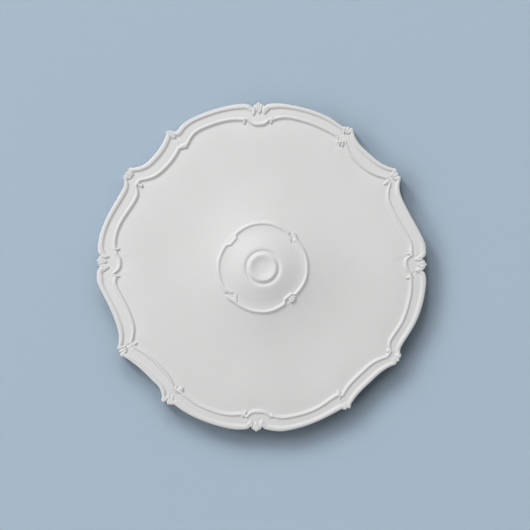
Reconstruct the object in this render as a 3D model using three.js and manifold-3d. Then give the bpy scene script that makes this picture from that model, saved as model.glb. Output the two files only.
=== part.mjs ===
// A cast ceiling rose with a scalloped rim of mouldings, leaves at the corners and a lobed boss in the middle.
// It hangs face down, its flat back against the ceiling at height zero. Sizes are in millimetres.
//
// The rose is described as it is seen from the room below. Angles are in degrees, anticlockwise from the
// right-hand side. Radii are measured from the middle, and heights from the ceiling towards the viewer.
import * as THREE from 'three';
import { mergeVertices } from 'three/addons/utils/BufferGeometryUtils.js';
import Module from 'manifold-3d';

const DEGREE = Math.PI / 180;
const FULL_TURN = 360;

// Heights above the back
const EDGE_HEIGHT = 9;
const RIM_HEIGHT = 21;
const BAND_HEIGHT = 17;
const BEAD_HEIGHT = 20.5;
const FIELD_EDGE_HEIGHT = 15.4;
const FIELD_HEIGHT = 17;
const SWELL_HEIGHT = 12.5;
const LIP_HEIGHT = 47.8;
const CUP_FLOOR_HEIGHT = 43.2;

// Radii of the swelling field and of the boss
const SWELL_RADIUS = 216;
const SWELL_POWER = 2.3;
const BOSS_FOOT_RADIUS = 94.5;
const BOSS_BEAD_RADIUS = 88.5;
const CUP_FLOOR_RADIUS = 6;

// The field bends down towards the rim over this distance from the inner bead's foot
const SHOULDER_WIDTH = 32;
const BEAD_FOOT = 7;

// Outer edge. Each scallop runs from the gap beside a palmette over its crown and through its
// hollow to the corner. A stop is [angle, radius]. rise and fall say how full the two curves are.
const CORNER_SWEEP = 3;
const EDGE_SCALLOPS = [
  { gap: [2.8, 320.8], crown: [7.9, 328.6], hollow: [24.8, 311.1], corner: [32.7, 327.5], rise: 3.6, fall: 0.7 },
  { gap: [89.6, 325.5], crown: [84.2, 329.9], hollow: [60.2, 324.2], corner: [59.7, 326.9], rise: 1.4, fall: 3.8 },
  { gap: [93.7, 323.5], crown: [107.8, 330.8], hollow: [122.4, 323.3], corner: [123.2, 325.6], rise: 7.7, fall: 4 },
  { gap: [175.9, 328.4], crown: [172.2, 333], hollow: [151.7, 321.6], corner: [147.4, 329.5], rise: 1.7, fall: 1.1 },
  { gap: [178.9, 325.8], crown: [184.9, 332.4], hollow: [199.2, 314.2], corner: [208.9, 331], rise: 3.6, fall: 0.7 },
  { gap: [265.9, 321.5], crown: [256, 329.2], hollow: [236.6, 326.5], corner: [236.3, 328], rise: 2.9, fall: 4 },
  { gap: [269.6, 321.6], crown: [277, 329.6], hollow: [299.3, 323.9], corner: [299.8, 325], rise: 1.4, fall: 1.1 },
  { gap: [359.4, 321.7], crown: [354.7, 328.2], hollow: [330.8, 319], corner: [327.7, 326.9], rise: 1.8, fall: 1.9 },
];

// Outer edge on the diagonals, where the rim swings inwards between two corners
const EDGE_BAYS = [
  { from: [36.7, 330.3], middle: [47.9, 312.2], to: [56.7, 329], power: 2.9 },
  { from: [126.1, 328.3], middle: [136.3, 312.3], to: [143, 331], power: 2.4 },
  { from: [213.1, 329.5], middle: [226.4, 315.9], to: [232.5, 330.5], power: 2.9 },
  { from: [302.7, 325.8], middle: [313.6, 314.3], to: [323.4, 326.8], power: 2.8 },
];

// Crest of the inner bead, in the same order
const BEAD_SCALLOPS = [
  { gap: [5.6, 297], crown: [8.4, 300.5], hollow: [24.5, 284], corner: [33.3, 302], rise: 2, fall: 0.8 },
  { gap: [85.6, 297.8], crown: [79, 305], hollow: [61.5, 303.5], corner: [60.5, 302], rise: 2.5, fall: 1.5 },
  { gap: [97.8, 298.6], crown: [109.8, 304.4], hollow: [122, 289.7], corner: [122.6, 290.4], rise: 3, fall: 2.7 },
  { gap: [172.3, 298.6], crown: [168, 301.4], hollow: [152.3, 289.6], corner: [147.1, 300.6], rise: 2, fall: 1.15 },
  { gap: [183.6, 294.5], crown: [186.2, 297.6], hollow: [199.5, 282.4], corner: [209.5, 303.2], rise: 2, fall: 0.7 },
  { gap: [261.4, 296], crown: [250, 303.6], hollow: [238.5, 299.5], corner: [237.2, 298], rise: 2.7, fall: 2.2 },
  { gap: [274.1, 297.5], crown: [280, 303.3], hollow: [298.6, 295.6], corner: [299.8, 294.5], rise: 2.5, fall: 2.2 },
  { gap: [354.6, 297], crown: [348.7, 299.9], hollow: [331.3, 293.5], corner: [327.1, 302], rise: 2.5, fall: 2.3 },
];
const BEAD_BAYS = [
  { from: [35.8, 303.5], middle: [48.2, 283.6], to: [56.8, 301.4], power: 2.6 },
  { from: [125.2, 291.5], middle: [135, 279.8], to: [144.6, 299.6], power: 2.4 },
  { from: [212.2, 301], middle: [224, 285.8], to: [233.5, 299.4], power: 2.5 },
  { from: [302.1, 299.2], middle: [313.3, 288.2], to: [324.2, 301.8], power: 2.4 },
];

// Under each palmette the inner bead bellies out into a small cartouche
const BEAD_BELLIES = [
  { from: [354.6, 297], middle: [361.1, 286], to: [365.6, 297], power: 2.2 },
  { from: [85.6, 297.8], middle: [91.6, 288.1], to: [97.8, 299], power: 2.2 },
  { from: [172.3, 299], middle: [177.9, 287.3], to: [183.6, 294.5], power: 2.2 },
  { from: [261.4, 296], middle: [267.5, 286.9], to: [274.1, 297.5], power: 2.2 },
];

// Columns of the surface on one scallop, bay, corner and palmette
const SCALLOP_COLUMNS = 8;
const BAY_COLUMNS = 6;
const CORNER_COLUMNS = 2;
const PALMETTE_COLUMNS = 4;

// The rim in section: how far from the inner bead's crest (0) to the outer edge (1), and the height
const RIM_SECTION = [
  [1, 0],
  [1, EDGE_HEIGHT],
  [0.985, 16],
  [0.92, 20],
  [0.81, RIM_HEIGHT],
  [0.73, 20.2],
  [0.61, BAND_HEIGHT + 0.4],
  [0.12, BAND_HEIGHT + 0.3],
  [0.05, BEAD_HEIGHT - 0.4],
  [0, BEAD_HEIGHT],
];

// The inner bead's face down to the field: distance inside the crest, and the height
const BEAD_FACE = [
  [3.2, 18.2],
  [BEAD_FOOT, FIELD_EDGE_HEIGHT],
];

// The smooth form of the boss: radius and height
const BOSS_FORM = [
  [BOSS_FOOT_RADIUS, FIELD_HEIGHT + SWELL_HEIGHT],
  [88, 31.6],
  [78, 33.2],
  [70, 35],
];
// The lobed bead on it: distance outside its crest, and height above the smooth form
const BOSS_BEAD = [
  [6.4, 0],
  [4, 1.1],
  [0, 3.4],
  [-3, 1.5],
  [-5.6, 0],
];
const DOME_SECTION = [
  [70, 35],
  [58, 38.9],
  [47, 42.5],
];
const CUP_SECTION = [
  [41, 44],
  [37.5, 44.4],
  [35, 43.4],
  [32.5, 42.3],
  [29, 45],
  [26.5, 47.4],
  [24.5, LIP_HEIGHT],
  [21, 46.8],
  [14, 44.3],
  [CUP_FLOOR_RADIUS, CUP_FLOOR_HEIGHT],
];

// Where the four lobes of the boss bead meet, one on each diagonal. The lobes draw in towards it, and two
// of the four are notched besides.
const NOTCHES = [
  { angle: 47.5, draw: 3.4, depth: 0, flat: 3, reach: 9 },
  { angle: 138.5, draw: 3.6, depth: 6, flat: 5.5, reach: 11 },
  { angle: 220.5, draw: 1, depth: 0, flat: 3, reach: 9 },
  { angle: 311, draw: 5.5, depth: 6, flat: 6, reach: 10.5 },
];
const LOBE_REACH = 40;

// Leaves at the eight corners: outer tips that stick out of the edge, and inner tips that lie on the field
const CORNERS = [
  { root: [34.6, 306], outer: [[33.3, 329], [34.9, 329], [36.4, 331]], inner: [[34.1, 292], [35.2, 292]] },
  { root: [58.1, 306], outer: [[56.9, 329], [58, 332], [59.5, 327]], inner: [[57.2, 288], [59, 288]] },
  { root: [124.1, 306], outer: [[123.3, 326], [124.5, 333], [125.5, 331]], inner: [[122.6, 287], [124, 288]] },
  { root: [145.2, 308], outer: [[143.7, 333], [145.2, 333], [146.7, 333]], inner: [[144.9, 292], [146.3, 290]] },
  { root: [210.7, 306], outer: [[209.2, 332], [210.5, 332.5], [211.8, 334.5]], inner: [[210.2, 292], [211.2, 292]] },
  { root: [234.8, 306], outer: [[233.1, 333.5], [235.2, 332.5], [236, 330.5]], inner: [[234.2, 289], [235.6, 288]] },
  { root: [301.2, 306], outer: [[300.2, 327], [301.4, 329.5], [302.4, 328]], inner: [[300.6, 288], [301.8, 290]] },
  { root: [325.6, 308], outer: [[324.1, 328], [325.6, 328.6], [327.1, 328]], inner: [[325.1, 294], [326.4, 294]] },
];

// Palmettes in the gaps at the four sides, with a curled end of the rim on either hand
const PALMETTES = [
  { root: [361, 307], tips: [[360, 324.5], [361.1, 327.6], [362.2, 324.5]], curls: [[358.1, 314], [363.9, 314]] },
  { root: [91.4, 306], tips: [[90.1, 328], [91.4, 332], [92.7, 328]], curls: [[88.5, 315], [94.4, 316]] },
  { root: [177.8, 309], tips: [[176.7, 329], [177.7, 332], [178.8, 329.5]], curls: [[175.1, 317], [180.7, 317]] },
  { root: [267.7, 307], tips: [[266.5, 324.5], [267.7, 327.6], [268.9, 324.5]], curls: [[264.8, 315], [270.6, 315]] },
];
const CURL_SIZE = 11;
const CURL_THICKNESS = 4.5;
const CURL_HEIGHT = 17.5;

// Small leaves that end the inner bead on either side of each cartouche: root and tip
const SIDE_LEAVES = [
  { root: [5, 300], tip: [5.7, 287] },
  { root: [86.5, 301], tip: [86.3, 287] },
  { root: [96.2, 301], tip: [97.7, 288] },
  { root: [173.6, 301], tip: [172.4, 288] },
  { root: [182.5, 299], tip: [183.5, 285] },
  { root: [261.8, 303], tip: [263.2, 286] },
  { root: [272.8, 301], tip: [273.8, 286] },
  { root: [356.4, 299], tip: [355.4, 286] },
];

// Where the boss bead's lobes meet, their ends cross, and a small leaf ties the lower notch: root and tip
const BOSS_LEAVES = [
  { root: [42, 86], tip: [49.2, 94.5] },
  { root: [53.5, 86.5], tip: [48.5, 77] },
  { root: [45.5, 84], tip: [43, 75] },
  { root: [227.5, 87], tip: [221.8, 95] },
  { root: [214.5, 87], tip: [221.5, 76.5] },
  { root: [224.5, 84.5], tip: [227.5, 76.5] },
  { root: [310.5, 76], tip: [315, 88] },
  { root: [310.5, 76], tip: [311.5, 91.5] },
  { root: [310.5, 76], tip: [307.5, 91.5] },
];

// Kinds of leaf: width, thickness, and the heights at which the root and the tip lie
const RIM_LEAF = { width: 7, thickness: 3.4, rootHeight: 17, tipHeight: 19 };
const FAN_LEAF = { width: 7, thickness: 3.4, rootHeight: 17, tipHeight: 18 };
const FIELD_LEAF = { width: 6, thickness: 3.4, rootHeight: 18, tipHeight: 17 };
const SIDE_LEAF = { width: 6.5, thickness: 3, rootHeight: 18, tipHeight: 17 };
const BOSS_LEAF = { width: 6.5, thickness: 2.4, rootHeight: 33, tipHeight: 33 };
const LEAF_SIDES = 4;
const LEAF_OUTLINE = [
  [0.1, 0.75],
  [0.7, 1],
];
// A sprig's leaves start this share of the way from its root to their tips
const SPRIG_START = 0.45;

const PRIMED_WHITE = new THREE.MeshStandardMaterial({ color: 0xe6e5e2, roughness: 0.62, metalness: 0 });

// A point of the rose in the part's own axes: the viewer looks up, so the view's right-hand side is -X
function place(angle, radius, height) {
  return new THREE.Vector3(
    -radius * Math.cos(angle * DEGREE),
    radius * Math.sin(angle * DEGREE),
    -height,
  );
}

function mix(a, b, share) {
  return a + (b - a) * share;
}

function ease(value) {
  const share = Math.min(1, Math.max(0, value));
  return share * share * (3 - 2 * share);
}

function scallopRadius(scallop, angle) {
  const way = Math.sign(scallop.corner[0] - scallop.gap[0]);
  const along = (value) => (value - scallop.gap[0]) * way;
  const here = along(angle);
  const crown = along(scallop.crown[0]);
  const hollow = along(scallop.hollow[0]);
  const corner = along(scallop.corner[0]);
  if (here < crown) {
    return mix(scallop.crown[1], scallop.gap[1], ((crown - here) / crown) ** scallop.rise);
  }
  if (here < hollow) {
    const fallen = ease(((here - crown) / (hollow - crown)) ** scallop.fall);
    return mix(scallop.crown[1], scallop.hollow[1], fallen);
  }
  return mix(scallop.hollow[1], scallop.corner[1], ((here - hollow) / (corner - hollow)) ** CORNER_SWEEP);
}

function bayRadius(bay, angle) {
  const side = angle < bay.middle[0] ? bay.from : bay.to;
  const share = Math.min(1, Math.max(0, (angle - bay.middle[0]) / (side[0] - bay.middle[0])));
  return mix(bay.middle[1], side[1], share ** bay.power);
}

// A closed line made of spans in order round the rose. Each span has a start and an end angle,
// a count of columns and a radius for any angle in it.
function scallopSpan(scallop) {
  return {
    start: Math.min(scallop.gap[0], scallop.corner[0]),
    end: Math.max(scallop.gap[0], scallop.corner[0]),
    columns: SCALLOP_COLUMNS,
    radius: (angle) => scallopRadius(scallop, angle),
  };
}

function baySpan(bay) {
  return {
    start: bay.from[0],
    end: bay.to[0],
    columns: BAY_COLUMNS,
    radius: (angle) => bayRadius(bay, angle),
  };
}

// The straight run that joins one span to the next, unless a belly of the inner bead fills it
function joinSpan(before, after, columns, belly) {
  const start = before.end;
  const end = after.start < start ? after.start + FULL_TURN : after.start;
  const first = before.radius(before.end);
  const last = after.radius(after.start);
  const straight = (angle) => mix(first, last, (angle - start) / (end - start));
  return { start, end, columns, radius: belly ? (angle) => bayRadius(belly, angle) : straight };
}

function closedLine(scallops, bays, bellies) {
  const curves = [...scallops.map(scallopSpan), ...bays.map(baySpan)].sort((a, b) => a.start - b.start);
  const spans = [];
  curves.forEach((span, i) => {
    const next = curves[(i + 1) % curves.length];
    const atPalmette = span.columns === SCALLOP_COLUMNS && next.columns === SCALLOP_COLUMNS;
    const belly = bellies.find((b) => Math.abs(b.from[0] - span.end) < 0.01);
    spans.push(span, joinSpan(span, next, atPalmette ? PALMETTE_COLUMNS : CORNER_COLUMNS, belly));
  });
  return spans;
}

// Points of a closed line as [angle, radius], closer together near the ends of each span
function linePoints(spans) {
  const points = [];
  for (const span of spans) {
    for (let i = 0; i < span.columns; i += 1) {
      const share = (1 - Math.cos((Math.PI * i) / span.columns)) / 2;
      const angle = mix(span.start, span.end, share);
      points.push([angle, span.radius(angle)]);
    }
  }
  return points;
}

function fieldHeight(radius) {
  const swell = Math.max(0, SWELL_RADIUS - radius) / (SWELL_RADIUS - BOSS_FOOT_RADIUS);
  return FIELD_HEIGHT + SWELL_HEIGHT * swell ** SWELL_POWER;
}

// How far the boss bead draws in from its full radius
function drawnIn(angle) {
  return NOTCHES.reduce((total, notch) => {
    const away = Math.abs(((angle - notch.angle + 540) % FULL_TURN) - 180);
    const lobe = notch.draw * ease((LOBE_REACH - away) / LOBE_REACH);
    return total + lobe + notch.depth * ease((notch.reach - away) / (notch.reach - notch.flat));
  }, 0);
}

function bossHeight(radius) {
  const next = BOSS_FORM.findIndex((stop) => stop[0] <= radius);
  const [outer, inner] = [BOSS_FORM[Math.max(1, next) - 1], BOSS_FORM[Math.max(1, next)]];
  return mix(outer[1], inner[1], (outer[0] - radius) / (outer[0] - inner[0]));
}

// The rings of the rim: from the back edge over the two beads to the foot on the field
function rimRings() {
  const edge = linePoints(closedLine(EDGE_SCALLOPS, EDGE_BAYS, []));
  const bead = linePoints(closedLine(BEAD_SCALLOPS, BEAD_BAYS, BEAD_BELLIES));
  const across = RIM_SECTION.map(([share, height]) => edge.map(([angle, radius], i) => {
    const outer = place(angle, radius, height);
    const inner = place(bead[i][0], bead[i][1], height);
    return inner.lerp(outer, share);
  }));
  const face = BEAD_FACE.map(([inside, height]) => bead.map(([angle, radius]) => (
    place(angle, radius - inside, height)
  )));
  return { rings: [...across, ...face], bead };
}

// The rings of the field: every second column, bending from the bead's line to plain circles
function fieldRings(bead) {
  const columns = bead.filter((_, i) => i % 2 === 0);
  const step = FULL_TURN / columns.length;
  const shoulders = [SHOULDER_WIDTH / 2, SHOULDER_WIDTH].map((inside) => columns.map(([angle, radius]) => {
    const sag = (FIELD_HEIGHT - FIELD_EDGE_HEIGHT) * (1 - inside / SHOULDER_WIDTH) ** 2;
    const here = radius - BEAD_FOOT - inside;
    return place(angle, here, fieldHeight(here) - sag);
  }));
  const circles = [SWELL_RADIUS, 190, 165, 140, 116];
  const outer = columns[0][0];
  const round = circles.map((radius, k) => columns.map(([angle], i) => {
    const settled = Math.min(1, (k + 1) / 4);
    const here = mix(angle, outer + i * step, settled);
    return place(here, radius, fieldHeight(radius));
  }));
  return { rings: [...shoulders, ...round], start: outer, count: columns.length };
}

function bossRings(start, count) {
  const angles = Array.from({ length: count }, (_, i) => start + (i * FULL_TURN) / count);
  const lobed = BOSS_BEAD.map(([outside, rise]) => angles.map((angle) => {
    const radius = BOSS_BEAD_RADIUS - drawnIn(angle) + outside;
    return place(angle, radius, bossHeight(radius) + rise);
  }));
  const dome = DOME_SECTION.map(([radius, height]) => angles.map((angle) => place(angle, radius, height)));
  const half = angles.filter((_, i) => i % 2 === 0);
  const cup = CUP_SECTION.map(([radius, height]) => half.map((angle) => place(angle, radius, height)));
  return [...lobed, ...dome, ...cup];
}

// Joins two rings of points with triangles. The inner ring may have half as many points.
function stitch(faces, outer, inner) {
  const n = outer.length;
  if (inner.length === n) {
    for (let i = 0; i < n; i += 1) {
      const j = (i + 1) % n;
      faces.push([outer[i], outer[j], inner[j]], [outer[i], inner[j], inner[i]]);
    }
    return;
  }
  for (let i = 0; i < inner.length; i += 1) {
    const a = 2 * i;
    const b = a + 1;
    const c = (a + 2) % n;
    const next = (i + 1) % inner.length;
    faces.push([outer[a], outer[b], inner[i]], [outer[b], outer[c], inner[next]], [outer[b], inner[next], inner[i]]);
  }
}

function fan(faces, ring, centre) {
  ring.forEach((point, i) => faces.push([point, ring[(i + 1) % ring.length], centre]));
}

// Builds a geometry from triangles of points, without doubled points
function geometryOf(faces) {
  const flat = faces.flatMap((face) => face.flatMap((p) => [p.x, p.y, p.z]));
  const geometry = new THREE.BufferGeometry();
  geometry.setAttribute('position', new THREE.Float32BufferAttribute(flat, 3));
  return mergeVertices(geometry, 1e-3);
}

function bodyGeometry() {
  const rim = rimRings();
  const field = fieldRings(rim.bead);
  const rings = [...rim.rings, ...field.rings, ...bossRings(field.start, field.count)];
  const faces = [];
  for (let i = 0; i + 1 < rings.length; i += 1) stitch(faces, rings[i], rings[i + 1]);
  fan(faces, rings[rings.length - 1], place(0, 0, CUP_FLOOR_HEIGHT));
  fan(faces, [...rings[0]].reverse(), place(0, 0, 0));
  return geometryOf(faces);
}

// One leaf: a ridge along its middle vein, blunt at its root and pointed at its tip
function leafGeometry(root, tip, width, thickness) {
  const along = new THREE.Vector3().subVectors(tip, root);
  const face = new THREE.Vector3(0, 0, -1);
  const side = new THREE.Vector3().crossVectors(face, along).normalize();
  const ringAt = ([share, fullness]) => Array.from({ length: LEAF_SIDES }, (_, i) => {
    const turn = (i * FULL_TURN * DEGREE) / LEAF_SIDES;
    return root.clone()
      .addScaledVector(along, share)
      .addScaledVector(side, (Math.cos(turn) * width * fullness) / 2)
      .addScaledVector(face, Math.sin(turn) * thickness * fullness);
  });
  const rings = LEAF_OUTLINE.map(ringAt);
  const faces = [];
  fan(faces, [...rings[0]].reverse(), root);
  for (let i = 0; i + 1 < rings.length; i += 1) stitch(faces, rings[i], rings[i + 1]);
  fan(faces, rings[rings.length - 1], tip);
  return geometryOf(faces);
}

function curlGeometry([angle, radius]) {
  const bud = new THREE.SphereGeometry(1, 7, 4);
  bud.deleteAttribute('normal');
  bud.deleteAttribute('uv');
  bud.scale(CURL_SIZE / 2, CURL_SIZE / 2, CURL_THICKNESS);
  const centre = place(angle, radius, CURL_HEIGHT);
  bud.translate(centre.x, centre.y, centre.z);
  return mergeVertices(bud, 1e-3);
}

function leafBetween({ root, tip }, kind) {
  const from = place(...root, kind.rootHeight);
  const to = place(...tip, kind.tipHeight);
  return leafGeometry(from, to, kind.width, kind.thickness);
}

// A leaf of a sprig starts part of the way from the shared root, so that the sprig isn't a lump there
function sprigLeaf(root, tip, kind) {
  const start = root.map((value, i) => mix(value, tip[i], SPRIG_START));
  const rootHeight = mix(kind.rootHeight, kind.tipHeight, SPRIG_START);
  return leafBetween({ root: start, tip }, { ...kind, rootHeight });
}

function cornerLeaves({ root, outer, inner }) {
  return [
    ...outer.map((tip) => sprigLeaf(root, tip, RIM_LEAF)),
    ...inner.map((tip) => sprigLeaf(root, tip, FIELD_LEAF)),
  ];
}

function palmetteLeaves({ root, tips, curls }) {
  return [
    ...tips.map((tip) => sprigLeaf(root, tip, FAN_LEAF)),
    ...curls.map(curlGeometry),
  ];
}

const wasm = await Module();
wasm.setup();

function solidOf(geometry) {
  return new wasm.Manifold(new wasm.Mesh({
    numProp: 3,
    vertProperties: new Float32Array(geometry.attributes.position.array),
    triVerts: new Uint32Array(geometry.index.array),
  }));
}

function geometryFrom(solid) {
  const mesh = solid.getMesh();
  const geometry = new THREE.BufferGeometry();
  geometry.setAttribute('position', new THREE.BufferAttribute(new Float32Array(mesh.vertProperties), 3));
  geometry.setIndex(new THREE.BufferAttribute(new Uint32Array(mesh.triVerts), 1));
  geometry.computeVertexNormals();
  return geometry;
}

function ceilingRose() {
  const carving = [
    ...CORNERS.flatMap(cornerLeaves),
    ...PALMETTES.flatMap(palmetteLeaves),
    ...SIDE_LEAVES.map((leaf) => leafBetween(leaf, SIDE_LEAF)),
    ...BOSS_LEAVES.map((leaf) => leafBetween(leaf, BOSS_LEAF)),
  ];
  const cast = carving.reduce((body, leaf) => body.add(solidOf(leaf)), solidOf(bodyGeometry()));
  const rose = new THREE.Mesh(geometryFrom(cast), PRIMED_WHITE);
  rose.name = 'ceiling_rose';
  return rose;
}

const group = new THREE.Group();
group.add(ceilingRose());
export default group;
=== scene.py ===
"""Looks of the ceiling rose: one moulded casting, seen from the room straight below it.

The rose is described as it is seen from below. Angles are in degrees, anticlockwise from the right-hand
side, radii are measured from the middle, and heights from the ceiling towards the viewer. All of these
are in millimetres until place() turns them into the scene's metres.
"""

import math

import bpy
import numpy as np
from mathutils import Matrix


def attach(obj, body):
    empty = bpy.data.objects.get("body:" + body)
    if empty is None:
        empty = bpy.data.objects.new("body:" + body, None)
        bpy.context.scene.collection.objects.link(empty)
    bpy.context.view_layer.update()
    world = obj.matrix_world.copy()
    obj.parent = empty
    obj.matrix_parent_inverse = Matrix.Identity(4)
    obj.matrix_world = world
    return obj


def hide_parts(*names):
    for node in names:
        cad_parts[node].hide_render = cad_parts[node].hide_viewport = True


MM = 0.001
FULL_TURN = 360

# The plain field: height where it meets the inner bead, width of the soft shoulder that follows, and
# plain height
FIELD_EDGE_HEIGHT = 15.4
SHOULDER_WIDTH = 32.0
FIELD_HEIGHT = 17.0
# Its swell towards the middle: height, radius where it starts, and power
SWELL_HEIGHT = 12.5
SWELL_RADIUS = 216.0
SWELL_POWER = 2.3
# The boss: radius of its foot, and of the crest of the bead round it
BOSS_FOOT_RADIUS = 94.5
BOSS_BEAD_RADIUS = 88.5

# Outer edge. Each scallop runs from the gap beside a palmette over its crown and through its hollow to
# the corner. A stop is (angle, radius). The last two numbers say how full the rise and the fall are.
EDGE_SCALLOPS = [
    ((2.8, 320.8), (7.9, 328.6), (24.8, 311.1), (32.7, 327.5), 3.6, 0.7),
    ((89.6, 325.5), (84.2, 329.9), (60.2, 324.2), (59.7, 326.9), 1.4, 3.8),
    ((93.7, 323.5), (107.8, 330.8), (122.4, 323.3), (123.2, 325.6), 7.7, 4.0),
    ((175.9, 328.4), (172.2, 333.0), (151.7, 321.6), (147.4, 329.5), 1.7, 1.1),
    ((178.9, 325.8), (184.9, 332.4), (199.2, 314.2), (208.9, 331.0), 3.6, 0.7),
    ((265.9, 321.5), (256.0, 329.2), (236.6, 326.5), (236.3, 328.0), 2.9, 4.0),
    ((269.6, 321.6), (277.0, 329.6), (299.3, 323.9), (299.8, 325.0), 1.4, 1.1),
    ((359.4, 321.7), (354.7, 328.2), (330.8, 319.0), (327.7, 326.9), 1.8, 1.9),
]

# Crest of the inner bead, in the same order
BEAD_SCALLOPS = [
    ((5.6, 298.0), (8.4, 300.5), (24.5, 284.0), (33.4, 305.5), 2.0, 0.8),
    ((85.6, 297.8), (79.0, 305.0), (62.3, 303.0), (59.2, 292.0), 2.5, 1.5),
    ((97.8, 298.6), (109.8, 304.4), (122.0, 289.7), (122.6, 290.4), 3.0, 2.7),
    ((172.3, 298.6), (168.0, 301.4), (152.3, 289.6), (147.1, 302.6), 2.0, 1.15),
    ((183.6, 294.5), (186.2, 297.6), (199.5, 282.4), (209.5, 303.2), 2.0, 0.7),
    ((261.4, 296.0), (250.0, 303.6), (238.5, 299.5), (237.2, 298.0), 2.7, 2.2),
    ((274.1, 297.5), (280.0, 303.3), (298.6, 295.6), (299.8, 294.5), 2.5, 2.2),
    ((355.6, 297.0), (348.7, 299.9), (331.3, 293.5), (327.0, 306.0), 2.5, 2.3),
]

# The short bays between two corners, on each diagonal, in the edge and in the inner bead: start, middle
# and end, and fullness
EDGE_BAYS = [
    ((36.7, 330.3), (47.9, 312.2), (56.7, 329.0), 2.9),
    ((126.1, 328.3), (136.3, 312.3), (143.0, 331.0), 2.4),
    ((213.1, 329.5), (226.4, 315.9), (232.5, 330.5), 2.9),
    ((302.7, 325.8), (313.6, 314.3), (323.4, 326.8), 2.8),
]
BEAD_BAYS = [
    ((35.8, 306.5), (48.2, 283.6), (56.8, 301.4), 2.6),
    ((125.2, 291.5), (135.0, 279.8), (144.6, 302.0), 2.4),
    ((212.2, 301.0), (224.0, 285.8), (233.5, 299.4), 2.5),
    ((302.1, 301.0), (313.3, 288.2), (324.3, 306.0), 2.8),
]

# Under each palmette the inner bead bellies inwards as a small cartouche: as for a bay
BEAD_BELLIES = [
    ((357.8, 295.5), (361.8, 286.0), (364.8, 299.5), 2.8),
    ((87.8, 295.5), (91.5, 286.5), (96.2, 299.5), 2.8),
    ((174.8, 294.0), (178.2, 286.0), (182.2, 300.0), 2.8),
    ((263.9, 300.0), (267.9, 288.0), (272.6, 296.5), 2.8),
]

# Leaves at the eight corners: root, tips that stick out of the edge, leaves that lie across the inner
# bead (root and tip), and grooves between them (start and end)
CORNERS = [
    ((34.6, 306), [(33.3, 329), (34.9, 329), (36.4, 331)], [((34.6, 307), (34.5, 293))],
     [((36.0, 320), (34.9, 316)), ((34.9, 316), (33.8, 320))]),
    ((58.4, 306), [(57.2, 330.5), (58.5, 329), (59.7, 325.5)],
     [((58.9, 301), (58.0, 286.5)), ((57.9, 302), (56.8, 289))],
     [((58.8, 321), (58.6, 314)), ((57.7, 320), (58.5, 314))]),
    ((123.9, 300), [(124.2, 331), (125.0, 333)], [((125.3, 291.5), (121.7, 285.2))],
     [((124.6, 293), (123.9, 300)), ((125.5, 318), (125.0, 309)), ((122.9, 313), (123.4, 307))]),
    ((145.2, 308), [(143.7, 333), (145.2, 333), (146.7, 333)], [((145.9, 307), (146.4, 290))],
     [((145.8, 325), (146.1, 317))]),
    ((210.7, 306), [(209.2, 332), (210.5, 332.5), (211.8, 334.5)], [((210.5, 307), (210.8, 292))],
     [((210.0, 330), (210.0, 309)), ((210.0, 309), (209.4, 294))]),
    ((234.8, 306), [(233.1, 334.5), (235.2, 332.5), (236.0, 330)],
     [((235.7, 304), (235.5, 291)), ((234.9, 304), (233.7, 292))],
     [((234.9, 330), (233.7, 320)), ((234.4, 325), (232.3, 314))]),
    ((301.2, 306), [(300.3, 328), (301.8, 330)],
     [((300.4, 305), (301.9, 292)), ((301.8, 295), (301.3, 287))],
     [((299.9, 324), (300.9, 314)), ((300.1, 301), (301.3, 294))]),
    ((325.6, 308), [(324.0, 328), (325.6, 329.5), (327.2, 328)], [((326.8, 308), (326.8, 297))],
     [((324.7, 307), (324.1, 304))]),
]

# Palmettes in the gaps at the four sides: root, tips, and the middles of the two curls in the outer
# bead's ends on either hand
PALMETTES = [
    ((361.0, 308), [(360.1, 324.5), (361.1, 327.6), (362.1, 324.5)], [(358.1, 313.5), (363.9, 313)]),
    ((91.4, 307), [(90.4, 326.5), (91.4, 330.5), (92.4, 326.5)], [(88.5, 314), (94.4, 315)]),
    ((177.8, 311), [(176.8, 329), (177.7, 332), (178.7, 329.5)], [(175.1, 316.5), (180.7, 316.5)]),
    ((267.7, 308.5), [(266.7, 324.5), (267.7, 327.6), (268.7, 324.5)], [(264.8, 314.5), (270.6, 314)]),
]

# Small leaves that end the inner bead on either side of each cartouche: root and tip
SIDE_LEAVES = [
    ((5.4, 302), (5.6, 288)),
    ((86.4, 302), (86.9, 288)),
    ((96.9, 302), (97.4, 289)),
    ((173.0, 302), (172.5, 288)),
    ((182.8, 301), (183.5, 286)),
    ((262.2, 303), (263.4, 288)),
    ((273.2, 302), (273.8, 291)),
    ((356.7, 302), (355.8, 286)),
]

# Round buds where the inner bead's ends meet: middle and radius. All have one height at the top, and
# this drop to the side
BUDS = [
    ((236.0, 294.0), 6.0),
    ((300.8, 295.0), 4.4),
    ((326.4, 301.5), 4.2),
    ((146.0, 292.5), 3.6),
    ((122.4, 287.6), 3.8),
]
BUD_TOP = 21.0
BUD_BULK = 3.4

# Grooves that set the cartouches' curled ends off, and those beside the palmettes: start and end
CARTOUCHE_GROOVES = [
    ((6.0, 301), (6.2, 290)),
    ((358.3, 304), (357.0, 297)),
    ((87.6, 300), (87.6, 292)),
    ((96.5, 303), (96.4, 292)),
    ((173.7, 300), (173.6, 291)),
    ((182.3, 303), (182.6, 292)),
    ((263.0, 304), (263.2, 294)),
    ((272.8, 305), (274.6, 301)),
]
FAN_GROOVES = [
    ((2.5, 320), (2.3, 308)),
    ((358.6, 319), (357.5, 310)),
    ((92.6, 318), (92.8, 309)),
    ((94.8, 328), (93.7, 310)),
    ((181.8, 321), (180.5, 316)),
    ((175.1, 323), (175.0, 315)),
    ((179.8, 321), (179.7, 312)),
    ((176.6, 321), (176.5, 312)),
    ((266.4, 321), (266.3, 307)),
]

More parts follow.
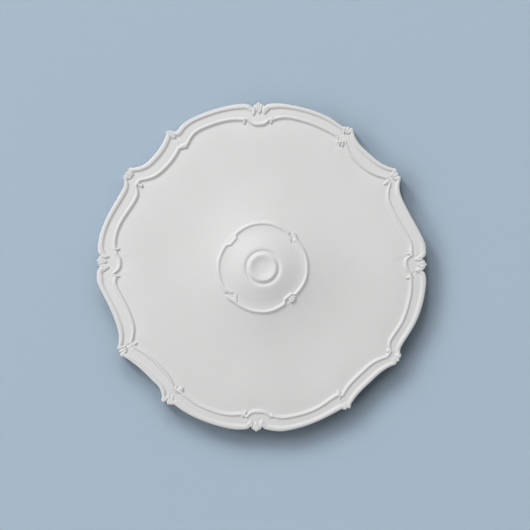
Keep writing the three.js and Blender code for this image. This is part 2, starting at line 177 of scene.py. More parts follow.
# Where the four lobes of the boss bead meet: angle, how far the lobes draw in towards it, depth of the
# notch itself, half width of the notch's flat and of the whole notch
NOTCHES = [
    (47.5, 3.4, 0.0, 3.0, 9.0),
    (138.5, 3.6, 6.0, 5.5, 11.0),
    (220.5, 1.0, 0.0, 3.0, 9.0),
    (311.0, 5.5, 6.0, 6.0, 10.5),
]
# A lobe starts to draw in this many degrees before a notch
LOBE_REACH = 40.0
# At two of them the bead is cut and its ends cross: angle and half width of the cut, and the degrees
# over which the bead fades
CUTS = [(47.3, 6.0), (220.5, 6.5)]
CUT_RUN = 1.6
# The crossing ends, a curl beside one of them, and the four fingers of the leaf at the last notch:
# root, tip and width
BOSS_LEAVES = [
    ((58.0, 85.0), (43.4, 77.8), 7.4),
    ((36.5, 86.4), (49.8, 92.6), 6.6),
    ((207.0, 87.2), (220.3, 78.6), 7.4),
    ((235.5, 87.4), (217.2, 92.4), 6.8),
    ((233.0, 84.0), (224.6, 77.6), 5.0),
    ((312.4, 75.5), (318.8, 88.0), 5.2),
    ((312.4, 75.5), (315.9, 91.0), 5.2),
    ((312.2, 75.5), (312.6, 92.5), 5.6),
    ((312.0, 75.5), (309.4, 91.0), 5.2),
]
# Grooves beside them: start and end
BOSS_GROOVES = [
    ((50.5, 86.5), (42.5, 82.5)),
    ((40.7, 76.0), (36.3, 79.5)),
    ((214.5, 89.8), (225.5, 83.6)),
    ((231.9, 80.5), (228.0, 74.5)),
    ((309.2, 78.5), (306.4, 84.5)),
]

# The rim in section: share of the way from the inner bead's crest (0) to the outer edge (1), and height
RIM_SECTION = [
    (0.0, 20.5),
    (0.03, 20.4),
    (0.055, 19.8),
    (0.085, 18.2),
    (0.11, 17.4),
    (0.14, 17.2),
    (0.2, 17.3),
    (0.3, 17.3),
    (0.55, 17.0),
    (0.61, 17.15),
    (0.64, 17.7),
    (0.68, 19.4),
    (0.72, 20.6),
    (0.81, 21.1),
    (0.87, 20.9),
    (0.93, 20.3),
    (0.97, 19.2),
    (0.99, 17.2),
    (1.0, 9.0),
]
# The inner bead's face: millimetres inside its crest, and height
BEAD_FACE = [
    (0.0, 20.5),
    (1.5, 20.3),
    (2.4, 19.4),
    (3.2, 17.9),
    (4.0, 16.3),
    (4.7, 15.6),
    (5.4, 15.4),
    (7.0, 15.4),
]
BEAD_FOOT = 7.0
# The outer bead's scrolled ends beside a palmette: degrees from its middle where they start, degrees
# over which they broaden, and how much broader they get as a share of the rim
SCROLL_REACH = 4.4
SCROLL_RUN = 2.4
SCROLL_WIDTH = 0.16
# The broader part starts in from the outer edge and never passes the crest: shares of the rim
SCROLL_START = 0.2
SCROLL_BLEND = 0.35
RIM_CREST = 0.81
# Between the two scrolled ends, where the palmette stands, the bead keeps its own width: half of that
# stretch and the run up from it, in degrees
FAN_HALF = 0.7
FAN_RUN = 1.3
# Fine grooves along the outer bead: middle and half length in degrees, share of the rim, and depth
FINE_GROOVES = [(108.0, 14.0, 0.85, 0.7), (223.0, 10.0, 0.86, 1.1)]
FINE_GROOVE_WIDTH = 0.05
# Flutes between a palmette's leaves, as shares of the way across its fan, and the grooves at its sides,
# as a share of the fan's breadth beyond its outer leaves
FAN_FLUTES = [0.27, 0.73]
FAN_SIDE = 0.24

# Kinds of leaf: width, height at the root, height at the tip, and bulk. The boss's leaves have their
# own widths
TIE_LEAF = (6.0, 20.6, 18.8, 2.7)
CORNER_LEAF = (8.0, 20.3, 21.6, 2.4)
FAN_LEAF = (7.0, 20.0, 21.8, 2.6)
SIDE_LEAF = (6.0, 20.4, 19.0, 2.8)
BOSS_LEAF = (35.3, 35.3, 2.6)

# The leaves that stick out of a corner start this share of the way from its root to their tips
CORNER_LEAF_START = 0.35

# Kinds of groove: width and depth
TIE_GROOVE = (2.0, 0.5)
TIP_GROOVE = (2.2, 0.8)
CORNER_GROOVE = (2.2, 1.0)
FLUTE_GROOVE = (1.7, 1.1)
FAN_SIDE_GROOVE = (2.4, 2.2)
SMALL_GROOVE = (2.2, 1.2)
BOSS_GROOVE = (2.4, 1.5)
# Two grooves run beside each tie: degrees from its middle, and radii of their ends
TIE_SIDES = (-0.75, 0.75)
TIE_GROOVE_ENDS = (317, 304)
# Grooves between a corner's tips start at this radius
TIP_GROOVE_START = 315
# A palmette's flutes and side grooves: distances of their ends from its root
FLUTE_ENDS = (5, 21)
FAN_SIDE_ENDS = (4, 18)

# The curls' radius, and the depth of their spiral groove. Its radius grows over one turn from the
# first share of the curl's radius to the second, and the last share is its half width
CURL_SIZE = 5.6
CURL_DEPTH = 1.3
CURL_START = 0.35
CURL_END = 0.95
CURL_HALF = 0.14
# How far round the rim and round the boss a leaf or a groove can reach, in degrees
RIM_REACH = 6.0
BOSS_REACH = 14.0

# The boss: radius and height of its smooth form. For the bead that stands on it, the radius is
# measured from the bead's crest and the height from the smooth form
BOSS_SECTION = [
    (0.0, 43.2),
    (6.0, 43.2),
    (10.0, 43.5),
    (16.0, 45.0),
    (21.0, 46.8),
    (24.0, 47.7),
    (25.5, 47.8),
    (27.0, 47.0),
    (29.0, 45.0),
    (31.0, 43.0),
    (32.5, 42.3),
    (34.0, 42.7),
    (35.5, 43.7),
    (37.5, 44.4),
    (40.0, 44.3),
    (46.0, 42.7),
    (58.0, 38.9),
    (70.0, 35.0),
    (78.0, 33.2),
    (83.0, 32.6),
    (88.0, 31.6),
    (91.0, 30.4),
    (94.5, 29.5),
]
BOSS_BEAD_SECTION = [
    (-5.6, 0.0),
    (-4.4, 0.3),
    (-2.8, 1.6),
    (-1.3, 3.1),
    (0.0, 3.5),
    (1.2, 3.2),
    (2.3, 2.3),
    (3.6, 0.9),
    (4.8, 0.2),
    (6.4, 0.0),
]

# The outer edge's lobes at leaf tips: half width in degrees, depth behind the edge, and fullness
TIP_HALF = 0.95
TIP_FOOT = 3.0
TIP_POWER = 0.35
# The edge draws in beside a palmette: depth, half width in degrees, and share of the way to the curl
EDGE_DRAW = 3.0
EDGE_DRAW_HALF = 0.55
EDGE_DRAW_AT = 0.72

# A leaf's outline in shares of its length: where it starts, how far its root runs up, and where it is
# broadest. Its neck is a share of its width
LEAF_START = -0.02
LEAF_RUN = 0.25
LEAF_BROADEST = 0.62
LEAF_NECK = 0.55
# The moat round it: depth, and the shares of its length where it fades in and where it ends
LEAF_MOAT = 0.4
MOAT_START = 0.3
MOAT_RUN = 0.3
MOAT_END = 1.2

# Sampling of the surface: degrees between columns, half widths of the finer stretches in degrees,
# and numbers of rings and columns
COARSE_STEP = 0.9
FINE_STEP = 0.17
CORNER_WINDOW = 4.0
PALMETTE_WINDOW = 7.5
RIM_RINGS = 38
# How the rim's rings are spread: ring as a share of all, and share of the rim's width
RIM_RING_SPREAD = [(0, 1.0), (0.2, 0.9), (0.5, 0.58), (0.8, 0.17), (1, 0)]
FACE_RINGS = 13
SHOULDER_RINGS = 13
# The rim's columns go on this far inside the inner bead's crest
INNER_WIDTH = 24.0
FIELD_COLUMNS = 240
FIELD_RINGS = 13
FIELD_INNER_RADIUS = 108.0
BOSS_COARSE_STEP = 1.2
BOSS_FINE_STEP = 0.45
BOSS_WINDOW = 11.0
CUP_COLUMNS = 144
# Runs of rings from the outside in: outermost and innermost radius, and step
BOSS_RING_RUNS = [(101.0, 70.4, 0.85), (68.5, 44.5, 3.0)]
CUP_RING_RUNS = [(42, 40, 2), (38.5, 23.5, 1), (22, 18, 2), (15, 6, 3)]
# Edges that turn more than this are shaded sharp, in degrees
SHARP_ANGLE = 62

# White primer: its darkest and lightest tone, and its smoothest and roughest patches
PRIMER_TONES = [(0.789, 0.789, 0.79, 1), (0.82, 0.823, 0.826, 1)]
PRIMER_ROUGHNESS = [(0.5, 0.5, 0.5, 1), (0.62, 0.62, 0.62, 1)]
PRIMER_SPECULAR = 0.3
# Its sprayed grain: strength, and depth in metres
GRAIN_STRENGTH = 0.12
GRAIN_DEPTH = 0.0003

# Camera and stage, in metres. The rose's middle in the picture is in pixels from its upper left
# corner, and the sensor's width in millimetres
CAMERA_DROP = 2.6
RIM_DEPTH = 0.014
PICTURE_WIDTH = 1.06
ROSE_IN_PICTURE = (262.8, 267.6)
PICTURE_PIXELS = 530
SENSOR_WIDTH = 36.0
FLOOR_DROP = 2.9
FLOOR_RADIUS = 30.0
CEILING_RADIUS = 6.0
CEILING_COLOUR = (0.0700, 0.0880, 0.1068, 1)
FLOOR_COLOUR = (0.88, 0.87, 0.85, 1)
ROOM_COLOUR = (1.0, 0.99, 0.975, 1)

# The ceiling's gap above the back, and how far it runs in under the edge, in millimetres
CEILING_GAP = 0.2
HOLE_INSET = 1.0

# Lights: the direction of the picture that they come from, and angles below the ceiling's plane, in
# degrees, with sizes in metres
UPPER_LEFT = 130
KEY_ELEVATION = 42
KEY_DISTANCE = 6.0
KEY_SIZE = 3.4
KEY_POWER = 222
ROOM_POWER = 0.43
# Each graze light: turn from the upper left, angle below the ceiling, spread and power
GRAZE_LIGHTS = [
    (0, 16, 20, 6.9),
    (0, 20, 14, 6.3),
    (-30, 20, 16, 6.4),
    (30, 20, 16, 5.1),
    (-20, 28, 28, 2.4),
    (-60, 24, 30, 3.75),
    (60, 24, 30, 4.15),
    (-90, 20, 30, 2.05),
    (90, 20, 30, 2.45),
]


def place(angle, radius, height):
    """Points of the rose in the scene. The viewer looks up, so the view's right-hand side is -X."""
    turn = np.radians(angle)
    return np.stack([
        -radius * np.cos(turn) * MM,
        radius * np.sin(turn) * MM,
        -height * MM + 0 * radius,
    ], axis=-1)


def plan(angle, radius):
    """Flat coordinates on the rose, in millimetres."""
    turn = np.radians(angle)
    return radius * np.cos(turn), radius * np.sin(turn)


def mix(a, b, share):
    return a + (b - a) * share


def point_between(a, b, share):
    """A point (angle, radius) on the way from a to b."""
    return mix(a[0], b[0], share), mix(a[1], b[1], share)


def ease(share):
    """A soft step from 0 to 1."""
    share = np.clip(share, 0, 1)
    return share * share * (3 - 2 * share)


def turn_between(a, b):
    """Signed turn from b to a, within half a turn."""
    return (np.asarray(a) - b + 1.5 * FULL_TURN) % FULL_TURN - FULL_TURN / 2


def curve_tangents(slope):
    """Slopes at the stops: none at an end or a crest, and a mean of both sides elsewhere."""
    product = slope[:-1] * slope[1:]
    total = slope[:-1] + slope[1:]
    inner = np.where(product > 0, 2 * product / np.where(total == 0, 1, total), 0)
    return np.concatenate([[0], inner, [0]])


def section(stops, value):
    """A smooth curve through the stops of a moulding section, without overshoot."""
    x, y = np.array(stops, float).T
    tangent = curve_tangents(np.diff(y) / np.diff(x))
    value = np.clip(value, x[0], x[-1])
    i = np.clip(np.searchsorted(x, value, side="right") - 1, 0, len(x) - 2)
    width = x[i + 1] - x[i]
    t = (value - x[i]) / width
    level = y[i] * (1 + 2 * t) * (1 - t) ** 2 + y[i + 1] * t * t * (3 - 2 * t)
    return level + width * (tangent[i] * t * (1 - t) ** 2 - tangent[i + 1] * t * t * (1 - t))


def scallop_radius(scallop, angle):
    """Radius of a scallop at an angle: up to its crown, down to its hollow, and out to the corner."""
    gap, crown, hollow, corner, rise, fall = scallop
    way = math.copysign(1, corner[0] - gap[0])
    here = (angle - gap[0]) * way
    to_crown = (crown[0] - gap[0]) * way
    to_hollow = (hollow[0] - gap[0]) * way
    to_corner = (corner[0] - gap[0]) * way
    if here < to_crown:
        return mix(crown[1], gap[1], ((to_crown - here) / to_crown) ** rise)
    if here < to_hollow:
        return mix(crown[1], hollow[1], ease(((here - to_crown) / (to_hollow - to_crown)) ** fall))
    return mix(hollow[1], corner[1], ((here - to_hollow) / (to_corner - to_hollow)) ** 3)


def bay_radius(bay, angle):
    """Radius of a bay at an angle: flat in its middle and steep at its ends."""
    start, middle, end, power = bay
    side = start if angle < middle[0] else end
    share = min(1, max(0, (angle - middle[0]) / (side[0] - middle[0])))
    return mix(middle[1], side[1], share ** power)


def line_spans(scallops, bays):
    """The parts of a closed line: start, end, shape, and the function that gives its radius."""
    spans = [(min(s[0][0], s[3][0]), max(s[0][0], s[3][0]), s, scallop_radius) for s in scallops]
    spans += [(b[0][0], b[2][0], b, bay_radius) for b in bays]
    return spans


def line_radius(spans, angle):
    """Radius of a closed line at one angle: in a span, or on the straight join between two."""
    for turn in (angle, angle + FULL_TURN, angle - FULL_TURN):
        for start, end, shape, radius in spans:
            if start <= turn <= end:
                return radius(shape, turn)
    before = max(spans, key=lambda s: -((angle - s[1]) % FULL_TURN))
    after = max(spans, key=lambda s: -((s[0] - angle) % FULL_TURN))
    gap = (after[0] - before[1]) % FULL_TURN
    share = ((angle - before[1]) % FULL_TURN) / gap
    return mix(before[3](before[2], before[1]), after[3](after[2], after[0]), share)


def sampled_angles(windows, coarse, fine):
    """Angles round the circle, closer together inside the windows (centre, half width)."""
    grid_step = 0.02
    grid = np.arange(0, FULL_TURN, grid_step)
    near = np.zeros(len(grid))
    for centre, half in windows:
        near = np.maximum(near, ease(half + 1 - np.abs(turn_between(grid, centre))))
    density = 1 / coarse + (1 / fine - 1 / coarse) * near
    total = np.concatenate([[0], np.cumsum(density * grid_step)])
    count = int(total[-1])
    marks = np.arange(count) * total[-1] / count
    return np.interp(marks, total, np.append(grid, FULL_TURN))


def rose_angles():
    """Angles of the rim's columns, closest together at its ornaments."""
    windows = [(root[0], CORNER_WINDOW) for root, _, _, _ in CORNERS]
    windows += [(root[0], PALMETTE_WINDOW) for root, _, _ in PALMETTES]
    return sampled_angles(windows, COARSE_STEP, FINE_STEP)


def inner_bead(angles):
    """Radius of the inner bead's crest."""
    spans = line_spans(BEAD_SCALLOPS, BEAD_BAYS + BEAD_BELLIES)
    return np.array([line_radius(spans, a) for a in angles])


def outer_edge(angles):
    """Radius of the outer edge, with the gaps beside the palmettes and the lobes of the leaf tips."""
    spans = line_spans(EDGE_SCALLOPS, EDGE_BAYS)
    edge = np.array([line_radius(spans, a) for a in angles])
    for (centre, _), _, curls in PALMETTES:
        for angle, _ in curls:
            away = turn_between(angles, mix(centre, angle, EDGE_DRAW_AT))
            edge -= EDGE_DRAW * np.exp(-(away / EDGE_DRAW_HALF) ** 2)
    tips = [tip for _, outer, _, _ in CORNERS for tip in outer]
    tips += [tip for _, fan, _ in PALMETTES for tip in fan]
    foot = edge - TIP_FOOT
    for angle, radius in tips:
        inside = np.clip(1 - (turn_between(angles, angle) / TIP_HALF) ** 2, 0, 1)
        lobe = mix(foot, radius, inside ** TIP_POWER)
        edge = np.where(inside > 0, np.maximum(edge, lobe), edge)
    return edge


def leaf_half_width(along, width):
    """Half the width of a leaf from its root (0) to its tip (1): it swells, then rounds off."""
    swelling = mix(LEAF_NECK, 1.0, ease(along / LEAF_BROADEST))
    past = (along - LEAF_BROADEST) / (1 - LEAF_BROADEST)
    rounding = np.sqrt(np.clip(1 - past ** 2, 0, 1))
    broad = np.where(along < LEAF_BROADEST, swelling, rounding)
    return np.maximum(width / 2 * broad * ease((along - LEAF_START) / LEAF_RUN), 0.01)


class Relief:
    """Heights over a polar grid: ornament is carved into them one feature at a time."""

    def __init__(self, angles, radii, heights, reach):
        self.angles = angles
        self.x, self.y = plan(angles[None, :], radii)
        self.heights = heights
        self.reach = reach

    def columns_near(self, angle):
        return np.nonzero(np.abs(turn_between(self.angles, angle)) < self.reach)[0]

    def leaf(self, root, tip, width, root_height, tip_height, bulk):
        """A plump leaf lying on the surface, with a shallow moat round its free end."""
        near = self.columns_near((root[0] + tip[0]) / 2)
        (rx, ry), (tx, ty) = plan(*root), plan(*tip)
        length = math.hypot(tx - rx, ty - ry)
        ux, uy = (tx - rx) / length, (ty - ry) / length
        dx, dy = self.x[:, near] - rx, self.y[:, near] - ry
        along = (dx * ux + dy * uy) / length
        across = np.abs(dy * ux - dx * uy)
        half_width = leaf_half_width(along, width)
        lens = np.sqrt(np.clip(1 - (across / half_width) ** 2, 0, 1))
        lens = lens * (along > LEAF_START) * (along < 1)
        free = ease((along - MOAT_START) / MOAT_RUN) * (along < MOAT_END)
        moat = LEAF_MOAT * np.exp(-np.maximum(across - half_width, 0) ** 2) * free
        carved = self.heights[:, near] - moat * (lens <= 0)
        top = mix(root_height, tip_height, np.clip(along, 0, 1)) - bulk + bulk * lens
        self.heights[:, near] = np.where(lens > 0, np.maximum(carved, top), carved)

    def groove(self, start, end, width, depth):
        """A soft groove along a straight line."""
        near = self.columns_near((start[0] + end[0]) / 2)
        (ax, ay), (bx, by) = plan(*start), plan(*end)
        dx, dy = self.x[:, near] - ax, self.y[:, near] - ay
        wx, wy = bx - ax, by - ay
        along = np.clip((dx * wx + dy * wy) / (wx * wx + wy * wy), 0, 1)
        away = np.hypot(dx - along * wx, dy - along * wy)
        self.heights[:, near] -= depth * np.exp(-(away / (width / 2)) ** 2)

    def bud(self, centre, size):
        """A round button."""
        near = self.columns_near(centre[0])
        cx, cy = plan(*centre)
        reach = np.hypot(self.x[:, near] - cx, self.y[:, near] - cy) / size
        dome = BUD_TOP - BUD_BULK * (1 - np.sqrt(np.clip(1 - reach ** 2, 0, 1)))
        under = self.heights[:, near]
        self.heights[:, near] = np.where(reach < 1, np.maximum(under, dome), under)

    def curl(self, centre, way):
        """A spiral groove that turns the bead's end into a scroll."""
        near = self.columns_near(centre[0])
        cx, cy = plan(*centre)
        dx, dy = self.x[:, near] - cx, self.y[:, near] - cy
        reach = np.hypot(dx, dy) / CURL_SIZE
        turn = (np.arctan2(dy, dx) - math.radians(centre[0])) * way / (2 * math.pi)
        spiral = mix(CURL_START, CURL_END, np.mod(turn, 1.0))
        self.heights[:, near] -= CURL_DEPTH * np.exp(-((reach - spiral) / CURL_HALF) ** 2)


def carve_corner(relief, root, outer, inner, grooves):
    """Leaves that tie the two beads together and stick out of the edge, and the grooves between them."""
    for foot, tip in inner:
        relief.leaf(foot, tip, *TIE_LEAF)
        outer_end, inner_end = TIE_GROOVE_ENDS
        for side in TIE_SIDES:
            relief.groove((root[0] + side, outer_end), (foot[0] + side, inner_end), *TIE_GROOVE)
    for tip in outer:
        relief.leaf(point_between(root, tip, CORNER_LEAF_START), tip, *CORNER_LEAF)
    for one, other in zip(outer, outer[1:]):
        between = point_between(one, other, 0.5)
        start = (mix(root[0], between[0], 0.5), TIP_GROOVE_START)
        relief.groove(start, between, *TIP_GROOVE)
    for start, end in grooves:
        relief.groove(start, end, *CORNER_GROOVE)


def carve_fan_groove(relief, root, outer_angle, inner_share, ends, groove):
    """A groove that leans out from the middle of a palmette."""
    inner_angle = mix(root[0], outer_angle, inner_share)
    relief.groove((inner_angle, root[1] + ends[0]), (outer_angle, root[1] + ends[1]), *groove)


def carve_palmette(relief, root, fan, curls):
    """A fan of leaves between the two scrolled ends of the outer bead."""
    for centre, way in zip(curls, (1, -1)):
        relief.curl(centre, way)
    for tip in fan:
        relief.leaf(root, tip, *FAN_LEAF)
    left, right = fan[0][0], fan[-1][0]
    for share in FAN_FLUTES:
        carve_fan_groove(relief, root, mix(left, right, share), 0.5, FLUTE_ENDS, FLUTE_GROOVE)
    for share in (-FAN_SIDE, 1 + FAN_SIDE):
        carve_fan_groove(relief, root, mix(left, right, share), 0.62, FAN_SIDE_ENDS, FAN_SIDE_GROOVE)


def carve_rim(relief):
    for corner in CORNERS:
        carve_corner(relief, *corner)
    for palmette in PALMETTES:
        carve_palmette(relief, *palmette)
    for root, tip in SIDE_LEAVES:
        relief.leaf(root, tip, *SIDE_LEAF)
    for centre, size in BUDS:
        relief.bud(centre, size)
    for start, end in CARTOUCHE_GROOVES + FAN_GROOVES:
        relief.groove(start, end, *SMALL_GROOVE)


def beside_palmette(angles):
    """1 beside a palmette, where the bead's scrolled ends are, and 0 under it and a few degrees away."""
    away = np.min([np.abs(turn_between(angles, root[0])) for root, _, _ in PALMETTES], axis=0)
    return ease((SCROLL_REACH - away) / SCROLL_RUN) * ease((away - FAN_HALF) / FAN_RUN)


def rim_surface(angles, edge, bead):
    """Radii and heights of the rim's rings, from the outer edge to the inner bead's crest."""
    shares = section(RIM_RING_SPREAD, np.linspace(0, 1, RIM_RINGS))[:, None]
    radii = bead + (edge - bead) * shares
    # The outer bead broadens inwards to its scrolled end beside each palmette
    broadening = SCROLL_WIDTH * ease((shares - SCROLL_START) / SCROLL_BLEND) * beside_palmette(angles)
    across = np.maximum(shares, np.minimum(shares + broadening, RIM_CREST))
    heights = section(RIM_SECTION, across)
    for middle, half, share, depth in FINE_GROOVES:
        length = ease((half - np.abs(turn_between(angles, middle))) / 3)
        heights -= depth * np.exp(-((shares - share) / FINE_GROOVE_WIDTH) ** 2) * length
    return radii, heights


def field_height(radius):
    """The plain field with its swell, apart from the shoulder inside the rim."""
    swell = np.maximum(0, SWELL_RADIUS - radius) / (SWELL_RADIUS - BOSS_FOOT_RADIUS)
    return FIELD_HEIGHT + SWELL_HEIGHT * swell ** SWELL_POWER


def shoulder_height(radius, bead):
    """Height of the field, which sinks in a soft shoulder towards the inner bead."""
    share = 1 - (bead - radius - BEAD_FOOT) / SHOULDER_WIDTH
    sag = (FIELD_HEIGHT - FIELD_EDGE_HEIGHT) * np.clip(share, 0, 1) ** 2
    return field_height(radius) - sag


def bead_face_surface(bead):
    """Radii and heights of the rings inside the inner bead's crest: its face, then the field's edge."""
    face = np.linspace(0, BEAD_FOOT, FACE_RINGS + 1)[1:, None]
    beyond = np.linspace(BEAD_FOOT, INNER_WIDTH, SHOULDER_RINGS + 1)[1:, None]
    face_heights = section(BEAD_FACE, face) + 0 * bead
    beyond_heights = shoulder_height(bead - beyond, bead)
    return np.vstack([bead - face, bead - beyond]), np.vstack([face_heights, beyond_heights])


def boss_heights(angles, radii):
    """The boss and its lobed bead, before the ornament."""
    smooth = section(BOSS_SECTION, radii)
    drawn_in = np.zeros(len(angles))
    for centre, draw, depth, flat, reach in NOTCHES:
        away = np.abs(turn_between(angles, centre))
        drawn_in += draw * ease((LOBE_REACH - away) / LOBE_REACH)
        drawn_in += depth * ease((reach - away) / (reach - flat))
    whole = np.ones(len(angles))
    for centre, half in CUTS:
        whole -= ease((half - np.abs(turn_between(angles, centre))) / CUT_RUN)
    bead = section(BOSS_BEAD_SECTION, radii - BOSS_BEAD_RADIUS + drawn_in) * whole
    return np.where(radii > BOSS_FOOT_RADIUS, field_height(radii), smooth) + bead


def ring_radii(runs):
    """Radii of rings from the outside in, for runs of (outermost, innermost, step)."""
    return np.concatenate([np.arange(outer, inner - step / 2, -step) for outer, inner, step in runs])


class Rings:
    """Rings of points, from the back of the edge over the face to the middle of the cup."""

    def __init__(self):
        self.points = []
        self.rings = []
        self.count = 0

    def add(self, angles, radius, height):
        radius = np.broadcast_to(np.asarray(radius, float), angles.shape)
        self.points.append(place(angles, radius, height))
        self.rings.append((range(self.count, self.count + len(angles)), angles))
        self.count += len(angles)

    def add_rim(self):
        angles = rose_angles()
        edge = outer_edge(angles)
        bead = inner_bead(angles)
        rim_radii, rim_heights = rim_surface(angles, edge, bead)
        face_radii, face_heights = bead_face_surface(bead)
        radii = np.vstack([rim_radii, face_radii])
        relief = Relief(angles, radii, np.vstack([rim_heights, face_heights]), RIM_REACH)
        carve_rim(relief)
        # The outermost ring is the top of the square edge, so it keeps its height
        edge_top = RIM_SECTION[-1][1]
        relief.heights[0] = edge_top
        self.add(angles, edge, 0.0)
        self.add(angles, edge, edge_top / 2)
        for radius, height in zip(radii, relief.heights):
            self.add(angles, radius, height)

    def add_field(self):
        """From the line that follows the inner bead to plain circles."""
        angles = np.arange(FIELD_COLUMNS) * FULL_TURN / FIELD_COLUMNS
        bead = inner_bead(angles)
        for share in np.linspace(0, 1, FIELD_RINGS + 1)[1:]:
            radius = mix(bead - INNER_WIDTH, FIELD_INNER_RADIUS, share)
            self.add(angles, radius, shoulder_height(radius, bead))

    def add_boss(self):
        windows = [(notch[0], BOSS_WINDOW) for notch in NOTCHES]
        angles = sampled_angles(windows, BOSS_COARSE_STEP, BOSS_FINE_STEP)
        radii = ring_radii(BOSS_RING_RUNS)
        grid = np.repeat(radii[:, None], len(angles), axis=1)
        relief = Relief(angles, grid, boss_heights(angles, grid), BOSS_REACH)
        for root, tip, width in BOSS_LEAVES:
            relief.leaf(root, tip, width, *BOSS_LEAF)
        for start, end in BOSS_GROOVES:
            relief.groove(start, end, *BOSS_GROOVE)
        for radius, height in zip(radii, relief.heights):
            self.add(angles, radius, height)

    def add_cup(self):
        angles = np.arange(CUP_COLUMNS) * FULL_TURN / CUP_COLUMNS
        for radius in ring_radii(CUP_RING_RUNS):
            self.add(angles, radius, section(BOSS_SECTION, radius))


def zip_rings(faces, first, first_angles, second, second_angles):
    """Triangles between two rings with different angles. Both are given as vertex numbers."""
    i = j = 0
    n, m = len(first), len(second)
    while i < n or j < m:
        next_first = first_angles[i + 1] if i + 1 < n else first_angles[0] + FULL_TURN
        next_second = second_angles[j + 1] if j + 1 < m else second_angles[0] + FULL_TURN
        if j >= m or (i < n and next_first <= next_second):
            faces.append((first[i % n], first[(i + 1) % n], second[j % m]))
            i += 1
        else:
            faces.append((first[i % n], second[(j + 1) % m], second[j % m]))
            j += 1


def quads_between(faces, first, second):
    n = len(first)
    for i in range(n):
        j = (i + 1) % n
        faces.append((first[i], first[j], second[j], second[i]))


def fan_to(faces, ring, middle):
    """Triangles from a closed ring to one point."""
    for i, point in enumerate(ring):
        faces.append((point, ring[(i + 1) % len(ring)], middle))


def rose_surface():
    """Vertices and faces of the whole casting, closed by its flat back."""
    rose_rings = Rings()
    rose_rings.add_rim()
    rose_rings.add_field()
    rose_rings.add_boss()
    rose_rings.add_cup()
    rings = rose_rings.rings

    faces = []
    for (first, first_angles), (second, second_angles) in zip(rings, rings[1:]):
        if len(first) == len(second) and np.allclose(first_angles, second_angles):
            quads_between(faces, first, second)
        else:
            zip_rings(faces, first, first_angles, second, second_angles)

    front_middle = place(0.0, np.zeros(1), BOSS_SECTION[0][1])
    back_middle = place(0.0, np.zeros(1), 0.0)
    fan_to(faces, rings[-1][0], rose_rings.count)
    fan_to(faces, rings[0][0][::-1], rose_rings.count + 1)
    return np.vstack(rose_rings.points + [front_middle, back_middle]), faces


def rose_mesh(material):
    vertices, faces = rose_surface()
    mesh = bpy.data.meshes.new("ceiling_rose_relief")
    mesh.from_pydata(vertices.tolist(), [], faces)
    mesh.validate()
    mesh.shade_smooth()
    mesh.set_sharp_from_angle(angle=math.radians(SHARP_ANGLE))
    rose = bpy.data.objects.new("ceiling_rose_relief", mesh)
    bpy.context.scene.collection.objects.link(rose)
    mesh.materials.append(material)
    return rose


def noise(nodes, links, coordinates, scale, detail):
    """Cloudy noise fixed to the object."""
    texture = nodes.new("ShaderNodeTexNoise")
    texture.inputs["Scale"].default_value = scale
    texture.inputs["Detail"].default_value = detail
    links.new(coordinates.outputs["Object"], texture.inputs["Vector"])
    return texture


def ramp(nodes, links, source, low, high):
    """Turns noise into a soft mix of two values."""
    colours = nodes.new("ShaderNodeValToRGB")
    colours.color_ramp.elements[0].position = 0.35
    colours.color_ramp.elements[0].color = low
    colours.color_ramp.elements[1].position = 0.65
    colours.color_ramp.elements[1].color = high
    links.new(source.outputs["Fac"], colours.inputs["Fac"])
    return colours


def primer_material():
    """Factory white primer: matt, slightly uneven in tone and gloss, with a fine sprayed grain."""
    material = bpy.data.materials.new("white_primer")
    material.use_nodes = True
    nodes, links = material.node_tree.nodes, material.node_tree.links
    shader = nodes["Principled BSDF"]
    coordinates = nodes.new("ShaderNodeTexCoord")
    broad = noise(nodes, links, coordinates, scale=5.0, detail=3.0)
    tone = ramp(nodes, links, broad, *PRIMER_TONES)
    links.new(tone.outputs["Color"], shader.inputs["Base Color"])
    patchy = noise(nodes, links, coordinates, scale=22.0, detail=4.0)
    gloss = ramp(nodes, links, patchy, *PRIMER_ROUGHNESS)
    links.new(gloss.outputs["Color"], shader.inputs["Roughness"])
    shader.inputs["Specular IOR Level"].default_value = PRIMER_SPECULAR
    grain = noise(nodes, links, coordinates, scale=900.0, detail=2.0)
    bump = nodes.new("ShaderNodeBump")
    bump.inputs["Strength"].default_value = GRAIN_STRENGTH
    bump.inputs["Distance"].default_value = GRAIN_DEPTH
    links.new(grain.outputs["Fac"], bump.inputs["Height"])
    links.new(bump.outputs["Normal"], shader.inputs["Normal"])
    return material


def stage_material(name, colour, see_through_back):
    """Matt paint for the stage. Seen from behind it can be clear, so that the rose's back shows."""
    material = bpy.data.materials.new(name)
    material.use_nodes = True
    nodes, links = material.node_tree.nodes, material.node_tree.links
    shader = nodes["Principled BSDF"]
    shader.inputs["Base Color"].default_value = colour
    shader.inputs["Roughness"].default_value = 0.9
    shader.inputs["Specular IOR Level"].default_value = 0.1
    if see_through_back:
        geometry = nodes.new("ShaderNodeNewGeometry")
        clear = nodes.new("ShaderNodeBsdfTransparent")
        choose = nodes.new("ShaderNodeMixShader")
        links.new(geometry.outputs["Backfacing"], choose.inputs["Fac"])
        links.new(shader.outputs["BSDF"], choose.inputs[1])
        links.new(clear.outputs["BSDF"], choose.inputs[2])
        links.new(choose.outputs["Shader"], nodes["Material Output"].inputs["Surface"])
    return material


def stage_sheet(name, points, faces, material):
    mesh = bpy.data.meshes.new(name)
    mesh.from_pydata(points, [], faces)
    mesh.materials.append(material)
    sheet = bpy.data.objects.new(name, mesh)
    bpy.context.scene.collection.objects.link(sheet)
    return sheet


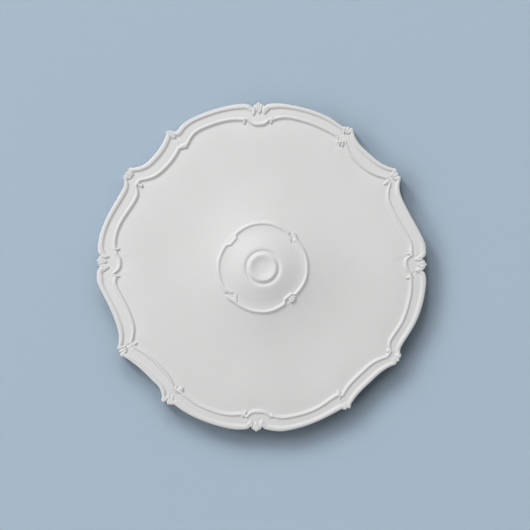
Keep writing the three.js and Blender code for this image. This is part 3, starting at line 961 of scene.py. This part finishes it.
def ceiling_sheet(material):
    """The ceiling, open where the rose covers it, so that the rose's back stays in the light."""
    angles = rose_angles()
    count = len(angles)
    hole = place(angles, outer_edge(angles) - HOLE_INSET, -CEILING_GAP)
    border = place(angles, np.full(count, CEILING_RADIUS / MM), -CEILING_GAP)
    faces = []
    quads_between(faces, range(count), range(count, 2 * count))
    return stage_sheet("ceiling", np.vstack([border, hole]).tolist(), faces, material)


def floor_sheet(material):
    """A big round floor that faces up."""
    turns = np.radians(np.arange(0, FULL_TURN, 5))
    points = [(FLOOR_RADIUS * math.cos(t), FLOOR_RADIUS * math.sin(t), -FLOOR_DROP) for t in turns]
    floor = stage_sheet("floor", points, [range(len(points))], material)
    # The lamps stand below the floor's level, so it lets their light through
    floor.visible_shadow = False
    floor.visible_diffuse = False


def aim(lamp):
    """Points a lamp at the rose."""
    lamp.rotation_euler = (-lamp.location).to_track_quat("-Z", "Y").to_euler()
    bpy.context.scene.collection.objects.link(lamp)


def lamp_place(turn, elevation):
    """A place at a turn from the upper left of the picture, at an angle below the ceiling."""
    direction = math.radians(UPPER_LEFT + turn)
    drop = math.radians(elevation)
    return (
        -KEY_DISTANCE * math.cos(drop) * math.cos(direction),
        KEY_DISTANCE * math.cos(drop) * math.sin(direction),
        -KEY_DISTANCE * math.sin(drop),
    )


def key_light():
    """A big soft disk that models the relief."""
    light = bpy.data.lights.new("key", "AREA")
    light.shape = "DISK"
    light.size = KEY_SIZE
    light.energy = KEY_POWER
    lamp = bpy.data.objects.new("key", light)
    lamp.location = lamp_place(0, KEY_ELEVATION)
    aim(lamp)


def graze_lights(ceiling):
    """Low soft lights on the ceiling alone, which draw the rose's long shadow to the lower right."""
    only_ceiling = bpy.data.collections.new("ceiling_only")
    only_ceiling.objects.link(ceiling)
    for turn, elevation, spread, power in GRAZE_LIGHTS:
        light = bpy.data.lights.new("graze", "SUN")
        light.angle = math.radians(spread)
        light.energy = power
        lamp = bpy.data.objects.new("graze", light)
        lamp.location = lamp_place(turn, elevation)
        aim(lamp)
        lamp.light_linking.receiver_collection = only_ceiling


def room_light():
    world = bpy.data.worlds.new("studio")
    world.use_nodes = True
    background = world.node_tree.nodes["Background"]
    background.inputs["Color"].default_value = ROOM_COLOUR
    background.inputs["Strength"].default_value = ROOM_POWER
    bpy.context.scene.world = world


def camera():
    """Straight below the rose, at the photograph's scale, with the rose a little off the middle."""
    view = bpy.data.cameras.new("camera")
    view.sensor_width = SENSOR_WIDTH
    view.lens = SENSOR_WIDTH * (CAMERA_DROP - RIM_DEPTH) / PICTURE_WIDTH
    pixel = PICTURE_WIDTH / PICTURE_PIXELS
    right = (PICTURE_PIXELS / 2 - ROSE_IN_PICTURE[0]) * pixel
    up = (ROSE_IN_PICTURE[1] - PICTURE_PIXELS / 2) * pixel
    holder = bpy.data.objects.new("camera", view)
    holder.location = (-right, up, -CAMERA_DROP)
    holder.rotation_euler = (0, math.pi, 0)
    bpy.context.scene.collection.objects.link(holder)
    bpy.context.scene.camera = holder


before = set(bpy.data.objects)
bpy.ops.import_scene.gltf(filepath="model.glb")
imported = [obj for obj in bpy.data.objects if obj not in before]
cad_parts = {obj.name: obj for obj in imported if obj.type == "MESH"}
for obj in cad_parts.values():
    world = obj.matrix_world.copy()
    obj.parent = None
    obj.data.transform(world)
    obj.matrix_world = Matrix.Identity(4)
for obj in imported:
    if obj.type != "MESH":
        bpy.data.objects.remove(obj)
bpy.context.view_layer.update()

rose = rose_mesh(primer_material())
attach(rose, "root")
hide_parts("ceiling_rose")

ceiling = ceiling_sheet(stage_material("ceiling_paint", CEILING_COLOUR, True))
floor_sheet(stage_material("floor_paint", FLOOR_COLOUR, False))
key_light()
graze_lights(ceiling)
room_light()
camera()
bpy.context.scene.view_settings.view_transform = "Standard"
